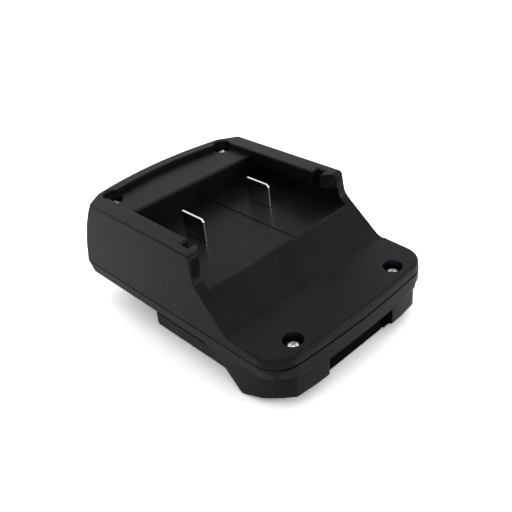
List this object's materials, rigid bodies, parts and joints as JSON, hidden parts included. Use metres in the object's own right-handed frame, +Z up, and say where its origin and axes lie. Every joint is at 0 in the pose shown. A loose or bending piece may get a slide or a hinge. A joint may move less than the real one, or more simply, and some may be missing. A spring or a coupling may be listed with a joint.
{
  "type": "tool battery adapter",
  "caption": "Battery adapter for cordless tools: moulded pocket with rails and contact blades on top, tool rails, spring clips and a sprung release button underneath.",
  "frame": {"origin": "under the middle of the part, on the plane it rests on", "axes": "+X right seen from the nose with the pocket up, -Y the nose, +Z up out of the battery pocket"},
  "size_m": [0.084, 0.115, 0.0484],
  "materials": {
    "shell": "fine moulded texture",
    "button": "fine moulded texture",
    "inner_plastic": "plain moulded",
    "steel": "zinc plated",
    "spring_steel": "drawn wire",
    "contact": "nickel plated",
    "red_insulation": "smooth",
    "black_insulation": "smooth"
  },
  "bodies": {
    "housing": {"upper_housing": "shell", "lower_housing": "shell", "housing_screws": "steel", "positive_blade": "contact", "negative_blade": "contact", "blade_clamp": "inner_plastic", "blade_clamp_screws": "steel", "terminal_block": "inner_plastic", "terminal_block_screws": "steel", "positive_clip": "contact", "negative_clip": "contact", "positive_wire": "red_insulation", "negative_wire": "black_insulation", "positive_blade_sleeve": "red_insulation", "negative_blade_sleeve": "black_insulation", "positive_clip_sleeve": "red_insulation", "negative_clip_sleeve": "black_insulation", "left_latch_spring": "spring_steel", "right_latch_spring": "spring_steel", "latch_retainer": "inner_plastic", "latch_retainer_screws": "steel"},
    "button": {"release_button": "button"}
  },
  "joints": [
    {"name": "button_slide", "type": "slide", "parent": "housing", "child": "button", "axis": [0, 0, 1], "range_m": [0, 0.0035], "stiffness_N_per_m": 800, "springref_m": -0.002, "deforming": ["left_latch_spring", "right_latch_spring"]}
  ]
}
